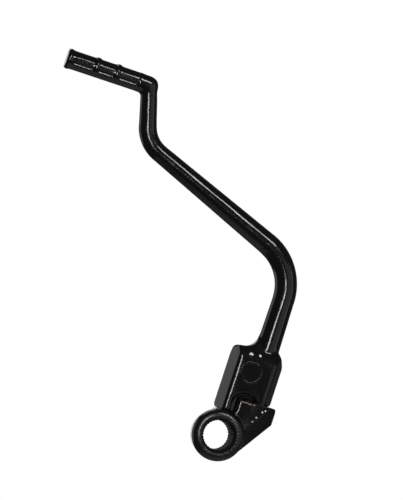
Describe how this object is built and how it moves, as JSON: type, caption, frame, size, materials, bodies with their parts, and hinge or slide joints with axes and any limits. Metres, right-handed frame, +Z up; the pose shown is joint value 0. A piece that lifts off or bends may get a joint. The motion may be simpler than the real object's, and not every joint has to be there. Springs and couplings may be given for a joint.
{
  "type": "kick start lever",
  "caption": "Folding kick start lever: splined hub with a leaned pivot stub, and a forged swing arm with a bent round bar and a ribbed foot peg.",
  "frame": {"origin": "centre of the splined bore, at the parting plane of the forgings", "axes": "+Z up the lever as pictured, +X to the right of the picture, +Y away from the viewer along the engine's shaft"},
  "size_m": [0.1279, 0.026, 0.2244],
  "materials": {
    "black_paint": "gloss black enamel over forged steel, lightly speckled",
    "bare_steel": "plain ground steel, oiled"
  },
  "bodies": {
    "hub": {"hub": "black_paint", "detent_spring": "bare_steel"},
    "arm": {"arm": "black_paint", "retaining_pin": "bare_steel"},
    "ball": {"detent_ball": "bare_steel"}
  },
  "joints": [
    {"name": "arm_fold", "type": "hinge", "parent": "hub", "child": "arm", "pos_m": [0.00817, 0, -0.00269], "axis": [0.3123, 0, 0.95], "range_deg": [-90, 0]},
    {"name": "detent_lift", "type": "slide", "parent": "hub", "child": "ball", "axis": [0.3123, 0, 0.95], "range_m": [0, 0.0004]}
  ]
}
